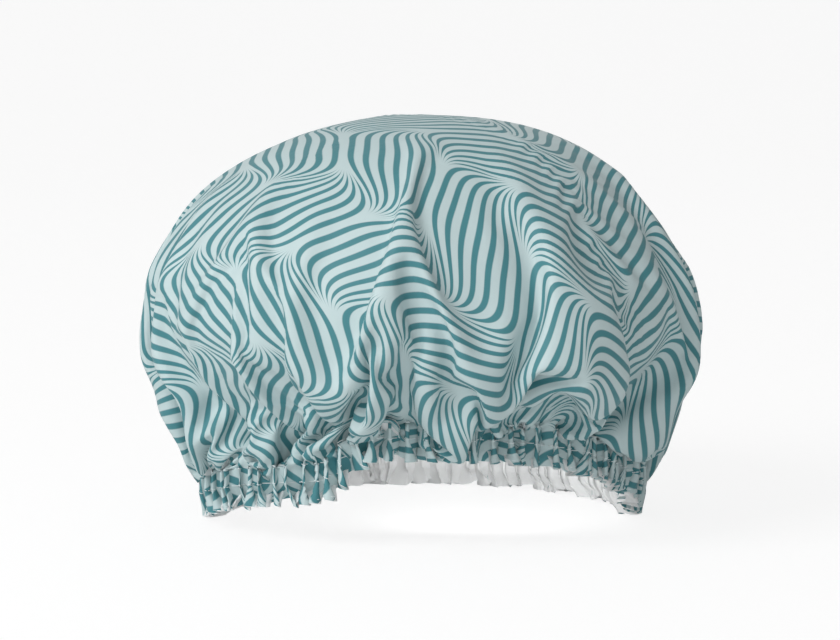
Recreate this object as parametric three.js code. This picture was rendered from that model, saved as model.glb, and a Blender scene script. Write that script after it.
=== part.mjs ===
// A lined shower cap. A disc of printed cloth and a disc of white waterproof film are drawn in together
// on an elastic band, which runs in a stitched casing a little above the frilled edge.
// Millimetres, +Z up, the front of the cap towards -Y, the edge of the frill resting on Z = 0.
import * as THREE from "three";

// Driving dimensions: the crown as it stands open
const CROWN_HALF_WIDTH = 126;
const CROWN_HALF_DEPTH = 119;
const CROWN_HEIGHT = 179;
const WIDEST_HEIGHT = 80;
const CROWN_FULLNESS = 2.3; // 2 is a plain ellipse, and more gives the upper crown fuller shoulders
const LOWER_BELLY = 3.2; // above 1 the lower crown bellies out before it draws in to the band

// Driving dimensions: the opening, measured on the middle of the elastic band
const OPENING_HALF_WIDTH = 90;
const OPENING_HALF_DEPTH = 84;
const FRONT_RISE = 34; // how far the hem is hitched up at the front
const RISE_AT = -6; // degrees round from the front, towards +X
const RISE_FALL_LEFT = 84; // degrees over which the hem comes down again towards -X
const RISE_FALL_RIGHT = 98; // and towards +X
const RISE_ROUNDNESS = 1.1; // above 1 the hem comes down to the level without a kink
const RISE_STEP_AT = -21; // degrees round from the front where it drops at one go
const RISE_STEP_WIDTH = 5; // degrees over which it drops there
const RISE_STEP_SHARE = 0.5; // how much of the rise it loses there

// Driving dimensions: the hem, from the edge of the frill upwards
const FRILL_DROP = 8;
const CASING_HEIGHT = 9.6;
const FRILL_FLARE = 4;
const FRILL_WAVE = 4.6;
const PLEATS = 36;
const PLEAT_DEPTH = 7;
const LOWER_FOLD = 2.6; // the pleats run together in pairs above the casing

// Driving dimensions: cloth, film, elastic and sewing thread
const SHELL_THICKNESS = 0.6;
const LINING_THICKNESS = 0.5;
const LAYER_GAP = 0.4;
const LINING_INSET = 0.6; // the film stops this far above the edge of the cloth
const BAND_HEIGHT = 6;
const BAND_THICKNESS = 1;
const BAND_LAP = 12;
const CASING_THREAD = 0.8;
const EDGE_THREAD = 0.5;
const EDGE_SEAM_HEIGHT = 3;
const TACK_WIDTH = 8;
const TACK_HEIGHT = 4;
const TACK_THREAD = 0.5;
const TACK_ZIGZAGS = 3;
const CLEARANCE = 0.3;

// The main folds of the crown: where each meets the casing in degrees round from the front, how far round it
// leans by the widest girth, its width in degrees, how far it stands out or sinks in as a share of the fold
// depth, and between which stations of the cloth it lies.
const FOLD_DEPTH = 20;
const FOLD_FADE = 0.25; // over how much of a station each fold comes and goes
const MAIN_FOLDS = [
  { at: -5, lean: -1, width: 8, share: -0.6, from: 1, to: 1.95 },
  { at: 5, lean: 0, width: 10, share: 0.3, from: 0.9, to: 1.8 },
  { at: 20, lean: 4, width: 12, share: 0.6, from: 0.75, to: 1.4 },
  { at: 26, lean: -4, width: 8, share: -0.75, from: 1.3, to: 1.95 },
  { at: 50, lean: 0, width: 6, share: -0.6, from: 0.75, to: 1.95 },
  { at: 62, lean: 0, width: 9, share: 0.4, from: 0.85, to: 1.9 },
  { at: 79, lean: -1, width: 6, share: -0.9, from: 0.9, to: 1.95 },
  { at: 110, lean: 1, width: 7, share: -0.6, from: 0.9, to: 1.95 },
  { at: 138, lean: 0, width: 8, share: -0.3, from: 0.9, to: 1.8 },
  { at: 152, lean: 0, width: 14, share: -0.3, from: 0.5, to: 0.9 },
  { at: 166, lean: 1, width: 6, share: -1.1, from: 1, to: 1.95 },
  { at: 180, lean: 0, width: 12, share: -0.35, from: 0.5, to: 1 },
  { at: 200, lean: 0, width: 8, share: -0.25, from: 1, to: 1.8 },
  { at: 212, lean: 0, width: 9, share: -0.3, from: 0.5, to: 0.9 },
  { at: 225, lean: 0, width: 5, share: -0.9, from: 0.85, to: 1.95 },
  { at: 252, lean: 1, width: 6, share: -1, from: 0.9, to: 1.95 },
  { at: 278, lean: -2, width: 6, share: -0.75, from: 0.85, to: 1.95 },
  { at: 305, lean: -6, width: 8, share: -0.7, from: 0.8, to: 1.95 },
  { at: 314, lean: 0, width: 12, share: 0.35, from: 0.4, to: 0.95 },
  { at: 327, lean: 2, width: 9, share: -0.6, from: 0.9, to: 1.95 },
  { at: 335, lean: 0, width: 12, share: -0.4, from: 0.4, to: 1 },
];

const TURN = 2 * Math.PI;
const HEM_STEPS = 2 * PLEATS; // one step up each side of a pleat
const FRONT = -Math.PI / 2;
const BACK = Math.PI / 2;
const CASING_TOP = FRILL_DROP + CASING_HEIGHT;
const BAND_MIDDLE = FRILL_DROP + CASING_HEIGHT / 2;
const UPPER_STITCH = CASING_TOP - CASING_THREAD / 2 - CLEARANCE; // just under where the layers part
const BAND_ROOM = BAND_THICKNESS / 2 + CLEARANCE;
const LAP_STEP = BAND_THICKNESS + CLEARANCE;
const CASING_BLEND = 0.4; // over how much of a station the layers part above the casing

// Stations down the cloth: the crown, the widest girth, the two stitch rows of the casing, and the frill's edge
const CROWN = 0;
const WIDEST = 1;
const UPPER_ROW = 2;
const LOWER_ROW = 3;
const EDGE = 4;

const mix = THREE.MathUtils.lerp;
const smooth = (value, low, high) => THREE.MathUtils.smoothstep(value, low, high);
const radians = THREE.MathUtils.degToRad;

// The shortest way round from one angle to another.
function turnBetween(from, to) {
  const turn = (((to - from) % TURN) + TURN) % TURN;
  return turn > Math.PI ? turn - TURN : turn;
}

// How far the hem is hitched up at an angle: a lopsided hump over the front with a step on its left.
function hemRise(angle) {
  const turn = turnBetween(FRONT + radians(RISE_AT), angle);
  const away = turn / radians(turn < 0 ? RISE_FALL_LEFT : RISE_FALL_RIGHT);
  const hump = Math.abs(away) < 1 ? (1 - away * away) ** RISE_ROUNDNESS : 0;
  if (turn >= 0) {
    return FRONT_RISE * hump;
  }
  const past = (turn - radians(RISE_STEP_AT - RISE_AT)) / radians(RISE_STEP_WIDTH);
  const step = 1 / (1 + Math.exp(-past));
  return FRONT_RISE * mix(hump, step, RISE_STEP_SHARE);
}

// The sum of the main folds, each of which comes and goes along the cloth.
function mainFolds(angle, station) {
  let share = 0;
  for (const fold of MAIN_FOLDS) {
    const centre = FRONT + radians(fold.at + fold.lean * (UPPER_ROW - station));
    const away = turnBetween(centre, angle) / radians(fold.width);
    const come = smooth(station, fold.from - FOLD_FADE, fold.from + FOLD_FADE);
    const go = 1 - smooth(station, fold.to - FOLD_FADE, fold.to);
    share += fold.share * come * go * Math.exp(-away * away);
  }
  return share * FOLD_DEPTH;
}

// The surface midway between the cloth and the film.
function middle(angle, station) {
  const across = Math.cos(angle);
  const deep = Math.sin(angle);
  const rise = hemRise(angle);
  const point = new THREE.Vector3();
  if (station <= WIDEST) {
    const tilt = (station * Math.PI) / 2;
    const reach = Math.sin(tilt) ** (2 / CROWN_FULLNESS);
    const height = mix(WIDEST_HEIGHT, CROWN_HEIGHT, Math.max(0, Math.cos(tilt)) ** (2 / CROWN_FULLNESS));
    point.set(across * CROWN_HALF_WIDTH * reach, deep * CROWN_HALF_DEPTH * reach, height);
  } else if (station <= UPPER_ROW) {
    const drawn = (station - WIDEST) ** LOWER_BELLY;
    const height = mix(WIDEST_HEIGHT, CASING_TOP + rise, station - WIDEST);
    point.set(
      across * mix(CROWN_HALF_WIDTH, OPENING_HALF_WIDTH, drawn),
      deep * mix(CROWN_HALF_DEPTH, OPENING_HALF_DEPTH, drawn),
      height,
    );
  } else {
    const flare = FRILL_FLARE * Math.max(0, station - LOWER_ROW);
    const height = station <= LOWER_ROW
      ? CASING_TOP - CASING_HEIGHT * (station - UPPER_ROW)
      : FRILL_DROP * (EDGE - station);
    point.set(across * (OPENING_HALF_WIDTH + flare), deep * (OPENING_HALF_DEPTH + flare), height + rise);
  }
  const lower = station > WIDEST && station < UPPER_ROW ? Math.sin((station - WIDEST) * Math.PI) : 0;
  const pairs = LOWER_FOLD * lower * Math.cos((PLEATS / 2) * angle);
  const wave = FRILL_WAVE * smooth(station, LOWER_ROW, EDGE) * Math.cos(PLEATS * angle);
  return point.addScaledVector(outward(angle), pairs + wave + mainFolds(angle, station));
}

// The level direction square to the oval of the opening.
function outward(angle) {
  return new THREE.Vector3(
    Math.cos(angle) * OPENING_HALF_DEPTH,
    Math.sin(angle) * OPENING_HALF_WIDTH,
    0,
  ).normalize();
}

// Half the gap between the cloth and the film. In the casing they part round the band, each pleat bulging away
// from it to the outside and then to the inside, and it is roomier outside where the ends of the band lap.
function halfGap(angle, station, side) {
  const casing = smooth(station, UPPER_ROW - CASING_BLEND, UPPER_ROW) * (1 - smooth(station, LOWER_ROW, EDGE));
  const bulge = (PLEAT_DEPTH / 2) * (1 + side * Math.cos(PLEATS * angle));
  const fromLap = Math.abs(turnBetween(BACK, angle)) * OPENING_HALF_WIDTH;
  const lap = side > 0 ? LAP_STEP * (1 - smooth(fromLap, BAND_LAP, 2 * BAND_LAP)) : 0;
  const edge = (EDGE_THREAD / 2 + CLEARANCE) * smooth(station, LOWER_ROW, EDGE);
  return Math.max(LAYER_GAP / 2, edge) + casing * (BAND_ROOM - LAYER_GAP / 2 + bulge + lap);
}

// The outward normal of the middle surface, from its slopes along and round the cloth.
function normal(angle, station) {
  if (station === CROWN) {
    return new THREE.Vector3(0, 0, 1);
  }
  const small = 1e-3;
  const round = middle(angle + small, station).sub(middle(angle - small, station));
  const down = middle(angle, Math.min(station + small, EDGE)).sub(middle(angle, station - small));
  const square = down.cross(round);
  if (station >= UPPER_ROW) {
    square.setZ(0);
  }
  return square.normalize();
}

// A point of one layer: side is +1 for the cloth and -1 for the film, depth is how far through the layer it is.
function layerPoint(angle, station, side, depth) {
  const gap = halfGap(angle, station, side);
  return middle(angle, station).addScaledVector(normal(angle, station), side * (gap + depth));
}

// Rings of points down one layer, with more points in each towards the folds and the pleats of the hem.
function layerRings(lastStation) {
  const eighth = HEM_STEPS / 8;
  return [
    { station: 0.18, count: eighth },
    { station: 0.38, count: 2 * eighth },
    { station: 0.58, count: 4 * eighth },
    { station: 0.8, count: HEM_STEPS },
    { station: 1.06, count: HEM_STEPS },
    { station: 1.42, count: HEM_STEPS },
    { station: 1.8, count: HEM_STEPS },
    { station: UPPER_ROW, count: HEM_STEPS },
    { station: LOWER_ROW, count: HEM_STEPS },
    { station: lastStation, count: HEM_STEPS },
  ];
}

// Triangles between a ring and the one below it, which has as many points or twice as many.
function ringBand(upper, lower) {
  const triangles = [];
  const ratio = lower.count / upper.count;
  for (let i = 0; i < upper.count; i++) {
    const u0 = upper.first + i;
    const u1 = upper.first + ((i + 1) % upper.count);
    const low = (k) => lower.first + ((ratio * i + k) % lower.count);
    triangles.push(u0, low(0), low(1));
    triangles.push(u0, low(1), u1);
    if (ratio === 2) {
      triangles.push(u1, low(1), low(2));
    }
  }
  return triangles;
}

// One layer as a closed body: an outer face, an inner face and the rim that joins them at the frill.
function layerGeometry(side, thickness, lastStation) {
  const positions = [];
  const index = [];
  const rims = [];
  for (const outer of [true, false]) {
    const depth = outer === side > 0 ? thickness : 0;
    let above = { first: positions.length / 3, count: 1 };
    positions.push(...layerPoint(FRONT, CROWN, side, depth).toArray());
    for (const { station, count } of layerRings(lastStation)) {
      const ring = { first: positions.length / 3, count };
      for (let i = 0; i < count; i++) {
        positions.push(...layerPoint(FRONT + (TURN * i) / count, station, side, depth).toArray());
      }
      const triangles = above.count === 1 ? crownFan(above.first, ring) : ringBand(above, ring);
      index.push(...(outer ? triangles : triangles.reverse()));
      above = ring;
    }
    rims.push(above);
  }
  index.push(...ringBand(...rims));
  return bodyGeometry(positions, index);
}

// Triangles from the crown point to the first ring.
function crownFan(crown, ring) {
  const triangles = [];
  for (let i = 0; i < ring.count; i++) {
    triangles.push(crown, ring.first + i, ring.first + ((i + 1) % ring.count));
  }
  return triangles;
}

function bodyGeometry(positions, index) {
  const geometry = new THREE.BufferGeometry();
  geometry.setAttribute("position", new THREE.Float32BufferAttribute(positions, 3));
  geometry.setIndex(index);
  geometry.computeVertexNormals();
  return geometry;
}

// A section swept round the hem. The section is a list of [outward, up] points, counter-clockwise seen with
// outward to the right; route gives the point and the outward direction at each step. A closed sweep joins up.
function sweepGeometry(section, route, closed) {
  const positions = [];
  const index = [];
  const sides = section.length;
  for (const { point, out } of route) {
    for (const [across, up] of section) {
      const corner = point.clone().addScaledVector(out, across);
      positions.push(corner.x, corner.y, corner.z + up);
    }
  }
  const spans = closed ? route.length : route.length - 1;
  for (let i = 0; i < spans; i++) {
    const here = i * sides;
    const next = ((i + 1) % route.length) * sides;
    for (let k = 0; k < sides; k++) {
      const m = (k + 1) % sides;
      index.push(here + k, next + k, next + m, here + k, next + m, here + m);
    }
  }
  if (!closed) {
    const last = (route.length - 1) * sides;
    for (let k = 1; k < sides - 1; k++) {
      index.push(0, k, k + 1, last, last + k + 1, last + k);
    }
  }
  return bodyGeometry(positions, index);
}

const rectangle = (width, height) => [
  [-width / 2, -height / 2],
  [width / 2, -height / 2],
  [width / 2, height / 2],
  [-width / 2, height / 2],
];
const diamond = (size) => [
  [0, -size / 2],
  [size / 2, 0],
  [0, size / 2],
  [-size / 2, 0],
];

// A point on the oval of the opening, a given height above the level edge and pushed out by a given step.
function hemPoint(angle, height, step = 0) {
  const out = outward(angle);
  const point = new THREE.Vector3(
    Math.cos(angle) * OPENING_HALF_WIDTH,
    Math.sin(angle) * OPENING_HALF_DEPTH,
    height + hemRise(angle),
  );
  return { point: point.addScaledVector(out, step), out };
}

// The elastic is one strip whose far end climbs over its near end and laps it at the back.
function elasticBand() {
  const lapTurn = BAND_LAP / OPENING_HALF_WIDTH;
  const climbFrom = TURN - lapTurn / 2;
  const climbTo = TURN - lapTurn / 8;
  const start = BACK - lapTurn / 2;
  const step = TURN / HEM_STEPS;
  const route = [hemPoint(start, BAND_MIDDLE)];
  for (let i = Math.floor((start - BACK) / step) + 1; BACK + i * step < start + climbFrom; i++) {
    route.push(hemPoint(BACK + i * step, BAND_MIDDLE));
  }
  route.push(hemPoint(start + climbFrom, BAND_MIDDLE));
  for (const turn of [climbTo, TURN + lapTurn / 2, TURN + lapTurn]) {
    route.push(hemPoint(start + turn, BAND_MIDDLE, LAP_STEP));
  }
  return sweepGeometry(rectangle(BAND_THICKNESS, BAND_HEIGHT), route, false);
}

// A row of casing stitches, drawn up tight between the cloth and the film.
function casingStitch(height) {
  const route = [];
  for (let i = 0; i < HEM_STEPS; i++) {
    route.push(hemPoint(FRONT + (TURN * i) / HEM_STEPS, height));
  }
  return sweepGeometry(diamond(CASING_THREAD), route, true);
}

// The seam that joins cloth to film inside the edge of the frill, following its waves.
function edgeSeam() {
  const share = 1 - EDGE_SEAM_HEIGHT / FRILL_DROP;
  const route = [];
  for (let i = 0; i < HEM_STEPS; i++) {
    const angle = FRONT + (TURN * i) / HEM_STEPS;
    const point = middle(angle, LOWER_ROW).lerp(middle(angle, EDGE), share);
    const out = outward(angle);
    const cloth = mix(halfGap(angle, LOWER_ROW, 1), halfGap(angle, EDGE, 1), share);
    const film = mix(halfGap(angle, LOWER_ROW, -1), halfGap(angle, EDGE, -1), share);
    route.push({ point: point.addScaledVector(out, (cloth - film) / 2), out });
  }
  return sweepGeometry(diamond(EDGE_THREAD), route, true);
}

// The zigzag of thread that tacks the lapped ends of the elastic together, lying on the outer end.
function elasticTack() {
  const legs = 2 * TACK_ZIGZAGS;
  const run = TACK_WIDTH / legs;
  const lift = (TACK_THREAD * Math.hypot(run, TACK_HEIGHT)) / (2 * run);
  const reach = TACK_HEIGHT / 2 - lift;
  const outline = new THREE.Shape();
  const corner = (i, way) => [run * i - TACK_WIDTH / 2, (i % 2 ? reach : -reach) + way * lift];
  outline.moveTo(...corner(0, -1));
  for (let i = 1; i <= legs; i++) {
    outline.lineTo(...corner(i, -1));
  }
  for (let i = legs; i >= 0; i--) {
    outline.lineTo(...corner(i, 1));
  }
  return new THREE.ExtrudeGeometry(outline, { depth: TACK_THREAD, bevelEnabled: false });
}

const printedCloth = new THREE.MeshStandardMaterial({ color: 0x9cc1c6, roughness: 0.6, metalness: 0 });
const whiteFilm = new THREE.MeshStandardMaterial({ color: 0xf1f2f0, roughness: 0.45, metalness: 0 });
const knittedElastic = new THREE.MeshStandardMaterial({ color: 0xe9e7e1, roughness: 0.85, metalness: 0 });
const whiteThread = new THREE.MeshStandardMaterial({ color: 0xe6eaea, roughness: 0.7, metalness: 0 });

function addPiece(group, name, geometry, material) {
  const mesh = new THREE.Mesh(geometry, material);
  mesh.name = name;
  group.add(mesh);
  return mesh;
}

const filmEdge = EDGE - LINING_INSET / FRILL_DROP;
const assembly = new THREE.Group();
addPiece(assembly, "outer_shell", layerGeometry(1, SHELL_THICKNESS, EDGE), printedCloth);
addPiece(assembly, "lining", layerGeometry(-1, LINING_THICKNESS, filmEdge), whiteFilm);
addPiece(assembly, "elastic_band", elasticBand(), knittedElastic);
addPiece(assembly, "casing_stitch_upper", casingStitch(UPPER_STITCH), whiteThread);
addPiece(assembly, "casing_stitch_lower", casingStitch(FRILL_DROP), whiteThread);
addPiece(assembly, "edge_seam", edgeSeam(), whiteThread);

const tack = addPiece(assembly, "elastic_tack", elasticTack(), whiteThread);
const tackSeat = hemPoint(BACK, BAND_MIDDLE, LAP_STEP + BAND_THICKNESS / 2 + CLEARANCE).point;
tack.position.copy(tackSeat);
tack.rotation.set(-Math.PI / 2, 0, 0);

// The origin is the middle of the box that the cap stands in, on the surface under its frill.
const box = new THREE.Box3().setFromObject(assembly);
assembly.position.set(-(box.min.x + box.max.x) / 2, -(box.min.y + box.max.y) / 2, -box.min.z);

const showerCap = new THREE.Group();
showerCap.add(assembly);

export default showerCap;
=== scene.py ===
"""A lined shower cap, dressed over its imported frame.

A flat disc of printed cloth is drawn in on its elastic by a cloth simulation, over a form that holds the
crown up. The white film inside it, the elastic, and the sewing thread of the hem follow the settled cloth.
"""
import logging
import math
from dataclasses import dataclass, field, replace
from enum import Enum

import bpy
import numpy as np
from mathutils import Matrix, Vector


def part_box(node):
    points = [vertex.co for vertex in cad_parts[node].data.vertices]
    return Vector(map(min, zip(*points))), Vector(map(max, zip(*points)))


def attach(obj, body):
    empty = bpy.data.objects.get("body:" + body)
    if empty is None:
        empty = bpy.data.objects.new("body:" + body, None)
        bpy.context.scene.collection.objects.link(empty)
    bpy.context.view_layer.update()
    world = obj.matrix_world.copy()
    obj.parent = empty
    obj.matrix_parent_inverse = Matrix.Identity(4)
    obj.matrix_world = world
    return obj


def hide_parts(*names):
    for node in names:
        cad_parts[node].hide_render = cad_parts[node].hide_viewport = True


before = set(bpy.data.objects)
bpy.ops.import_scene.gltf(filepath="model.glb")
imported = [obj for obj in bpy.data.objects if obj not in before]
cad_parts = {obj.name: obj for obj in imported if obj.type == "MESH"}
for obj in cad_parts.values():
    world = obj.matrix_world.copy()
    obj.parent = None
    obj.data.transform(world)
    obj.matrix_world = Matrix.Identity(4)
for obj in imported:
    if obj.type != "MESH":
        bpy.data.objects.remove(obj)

LOG = logging.getLogger("shower_cap")
TURN = 2.0 * math.pi
FRONT = -0.5 * math.pi
BACK = 0.5 * math.pi
TINY = 1e-12

# Width of the hem along the cloth, from the upper stitch row to the edge, in metres
HEM_WIDTH = 0.018
# How far the gathered cloth is lifted, so that its frill stands on the table, in metres
HEM_LIFT = 0.0010

# A place or a colour
Triple = tuple[float, float, float]
# Where a smooth step leaves 0 and where it reaches 1
Span = tuple[float, float]


class Node(Enum):
    """The CAD nodes, by the piece that stands for each."""

    CLOTH = "outer_shell"
    LINING = "lining"
    ELASTIC = "elastic_band"
    TACK = "elastic_tack"
    UPPER_ROW = "casing_stitch_upper"
    LOWER_ROW = "casing_stitch_lower"
    EDGE_SEAM = "edge_seam"


class Layer(Enum):
    """The two sheets, by the side of the elastic that each lies on: +1 outside it, -1 inside it."""

    CLOTH = 1.0
    FILM = -1.0


def ease(value: np.ndarray, low: float, high: float) -> np.ndarray:
    """A smooth step from 0 to 1.

    Args:
        value: Where it is read.
        low: Where it leaves 0.
        high: Where it reaches 1.

    Returns:
        The step, of the same shape as value.
    """
    share = np.clip((value - low) / (high - low), 0.0, 1.0)
    return share * share * (3.0 - 2.0 * share)


def from_front(angle: np.ndarray) -> np.ndarray:
    """Degrees round from the front of the cap, towards +X.

    Args:
        angle: Angles about +Z in radians, from +X.

    Returns:
        Degrees from -180 to 180.
    """
    return (np.degrees(angle - FRONT) + 180.0) % 360.0 - 180.0


def link(name: str, points: np.ndarray, faces: np.ndarray, smooth: bool = True) -> bpy.types.Object:
    """Puts a mesh of whole arrays into the scene.

    Args:
        name: The object's name.
        points: Vertices, n by 3, in metres.
        faces: Vertex numbers, m by 4.
        smooth: Whether its faces are shaded smooth.

    Returns:
        The new object, at the origin.
    """
    mesh = bpy.data.meshes.new(name)
    mesh.from_pydata(points.tolist(), [], faces.tolist())
    mesh.polygons.foreach_set("use_smooth", np.full(len(mesh.polygons), smooth))
    mesh.update()
    made = bpy.data.objects.new(name, mesh)
    bpy.context.scene.collection.objects.link(made)
    return made


@dataclass(frozen=True)
class FlatDisc:
    """The cloth as cut: a disc, laid out as a square grid that is pressed round.

    Each square ring of the grid becomes a round ring of the disc, and the points of a ring are spread evenly
    round it, so that the cells keep about the same area everywhere.

    Attributes:
        radius: Radius of the disc, in metres.
        rings: Rings of cells from its middle to its edge.
    """

    radius: float = 0.267
    rings: int = 56

    def grid(self) -> np.ndarray:
        """The points of the disc.

        Returns:
            Points on the flat cloth, side by side by 2, in metres.
        """
        steps = np.linspace(-1.0, 1.0, 2 * self.rings + 1)
        across, along = np.meshgrid(steps, steps, indexing="xy")
        wide = np.abs(across) >= np.abs(along)
        reach = np.where(wide, across, along)
        other = np.where(wide, along, across)
        share = np.divide(other, reach, out=np.zeros_like(reach), where=reach != 0.0)
        angle = np.where(wide, 0.25 * math.pi * share, 0.5 * math.pi - 0.25 * math.pi * share)
        return self.radius * np.stack([reach * np.cos(angle), reach * np.sin(angle)], -1)

    @staticmethod
    def quads(side: int) -> np.ndarray:
        """The cells of a square grid of points.

        Args:
            side: Points along a side.

        Returns:
            Vertex numbers, m by 4, facing up.
        """
        number = np.arange(side * side).reshape(side, side)
        corners = [number[:-1, :-1], number[:-1, 1:], number[1:, 1:], number[1:, :-1]]
        return np.stack(corners, -1).reshape(-1, 4)


# Slow waves that make the pleats uneven: waves round the hem, share, and start in radians
PLEAT_WANDER = ((3, 0.9, 0.4), (5, 0.7, 2.1), (8, 0.6, 4.0), (13, 0.5, 1.2), (21, 0.35, 5.3))


@dataclass(frozen=True)
class Hem:
    """The gathered hem: pleats round the oval of the elastic, hitched up at the front.

    Attributes:
        centre: Middle of the oval.
        half_width: Half the oval across the cap.
        half_depth: Half the oval from front to back.
        casing: How far the upper stitch row is from the crown, along the cloth.
        casing_height: From the upper stitch row to the lower one.
        top: Height of the upper stitch row where the hem isn't hitched up.
        pleats: Pleats all the way round.
        pleat_depth: How far a pleat swings to each side.
        wander: How far the slow waves shift the pleats, in radians of their phase.
        crimp: How far the flanks of a pleat lean over along the hem.
        band_room: Gap between the elastic and the nearest cloth.
        loosens: Where the casing's pleats pass into the frill, under the lower stitch row.
        flare: How far the frill stands out.
        frill_depth: How far the frill swings to each side, in pleat depths.
        frill_swing: How far the frill leans along the hem, as a share of its length.
        frill_ragged: How much of its length the frill loses where it hangs short.
        front_rise: How far the hem is hitched up at the front.
        right_from: Degrees from the front where the fall to the right starts.
        right_fall: Degrees that it takes.
        right_power: How late that fall gathers speed.
        left_from: Degrees from the front where the fall to the left starts.
        left_fall: Degrees that its tail takes.
        steep_at: Degrees from the front of the steep fall to the left.
        steep_width: Scale of the steep fall, in degrees.
        rounding: How softly the long fall and the tail end.
    """

    centre: tuple[float, float]
    half_width: float
    half_depth: float
    casing: float
    casing_height: float = 0.0085
    top: float = 0.0172
    pleats: int = 84
    pleat_depth: float = 0.0038
    wander: float = 1.4
    crimp: float = 0.0018
    band_room: float = 0.0009
    loosens: Span = (-0.002, 0.010)
    flare: float = 0.0030
    frill_depth: float = 1.2
    frill_swing: float = 0.7
    frill_ragged: float = 0.35
    front_rise: float = 0.039
    right_from: float = -6.0
    right_fall: float = 98.0
    right_power: float = 2.4
    left_from: float = -12.0
    left_fall: float = 78.0
    steep_at: float = -21.0
    steep_width: float = 2.0
    rounding: float = 1.2

    def rise(self, angle: np.ndarray) -> np.ndarray:
        """How far the hem is hitched up: a long fall to the right, a short steep one and a tail to the left.

        The long fall and the tail are one less a power of the share of the fall that is past. The steep fall
        is a logistic step, and takes half of the height.

        Args:
            angle: Angles about +Z in radians.

        Returns:
            Heights in metres.
        """
        degrees = from_front(angle)
        to_right = np.clip(degrees - self.right_from, 0.0, None) / self.right_fall
        to_left = np.clip(self.left_from - degrees, 0.0, None) / self.left_fall
        right = np.clip(1.0 - to_right**self.right_power, 0.0, 1.0) ** self.rounding
        tail = np.clip(1.0 - to_left**2, 0.0, 1.0) ** self.rounding
        steep = 1.0 / (1.0 + np.exp(np.clip((self.steep_at - degrees) / self.steep_width, -30.0, 30.0)))
        left = 0.5 * tail + 0.5 * steep
        return self.front_rise * np.where(degrees < self.left_from, left, right)

    def outward(self, angle: np.ndarray) -> np.ndarray:
        """The level direction square to the oval.

        Args:
            angle: Angles about +Z in radians.

        Returns:
            Unit vectors, n by 3.
        """
        slope = [np.cos(angle) / self.half_width, np.sin(angle) / self.half_depth, np.zeros_like(angle)]
        out = np.stack(slope, -1)
        return out / np.linalg.norm(out, axis=-1, keepdims=True)

    def phase(self, angle: np.ndarray) -> np.ndarray:
        """Where in its pleat each point lies. Slow waves in the phase make the pleats uneven.

        Args:
            angle: Angles about +Z in radians.

        Returns:
            Phases in radians.
        """
        shift = np.zeros_like(angle)
        for waves, share, start in PLEAT_WANDER:
            shift += share * np.sin(waves * angle + start)
        return self.pleats * angle + self.wander * shift

    def line(self, angle: np.ndarray, below: np.ndarray, step: np.ndarray) -> np.ndarray:
        """Points beside the oval of the elastic.

        Args:
            angle: Angles about +Z in radians.
            below: How far under the upper stitch row, in metres.
            step: How far outside the oval, in metres.

        Returns:
            Points, n by 3.
        """
        across = self.centre[0] + self.half_width * np.cos(angle)
        along = self.centre[1] + self.half_depth * np.sin(angle)
        height = self.top + self.rise(angle) - below
        return np.stack([across, along, height], -1) + self.outward(angle) * step[..., None]

    def pleated(self, angle: np.ndarray, below: np.ndarray, layer: Layer = Layer.CLOTH) -> np.ndarray:
        """The pleats of one layer.

        In the casing they bulge away from the elastic, as a sine of the phase that is set off from the oval.
        Below it both layers come together on one wave, which flares, leans along the hem and ends in an
        uneven edge. Slower sines round the hem vary the depth of the pleats, and the swing and the length of
        the frill.

        Args:
            angle: Angles about +Z in radians, as on the cloth.
            below: How far under the upper stitch row, in metres along the cloth.
            layer: The cloth or the film.

        Returns:
            Points, n by 3.
        """
        side = layer.value
        phase = self.phase(angle)
        frill = np.clip(below - self.casing_height, 0.0, None)
        loose = ease(frill, *self.loosens)
        slow = 0.25 * np.sin(9.0 * angle + 1.0) * np.sin(4.0 * angle)
        quick = 0.22 * np.sin(31.0 * angle + 0.5)
        depth = self.pleat_depth * (1.0 + slow + quick)
        bulge = self.band_room + depth * (1.0 + side * np.sin(phase + 0.25 * np.sin(phase)))
        wave = self.frill_depth * depth * np.sin(phase + 0.5 * np.sin(17.0 * angle + 2.0))
        step = side * (1.0 - loose) * bulge + loose * (wave + self.flare)
        swing = 0.45 * np.sin(phase + 1.1) + 0.35 * np.sin(19.0 * angle) + 0.2 * np.sin(37.0 * angle + 1.0)
        lean = self.crimp * np.sin(2.0 * phase) + self.frill_swing * frill * swing
        along = self.outward(angle)[..., [1, 0, 2]] * np.array([-1.0, 1.0, 1.0])
        short = np.clip(0.3 * np.sin(23.0 * angle) + 0.45 * np.sin(phase + 0.7), -1.0, 0.0)
        hung = below + self.frill_ragged * frill * short
        return self.line(angle, hung, step) + along * lean[..., None]


@dataclass(frozen=True)
class Fold:
    """A valley that the cloth is coaxed into while it is drawn in.

    Attributes:
        at: Degrees round from the front where it meets the casing.
        lean: Degrees that it turns by the time it is up at the widest girth.
        depth: How far it sinks, in metres.
        start: How far from the crown it starts, in metres along the cloth.
        tuck: Degrees that it is drawn round, under the cloth beside it.
    """

    at: float
    lean: float
    depth: float
    start: float
    tuck: float = 0.0


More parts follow.
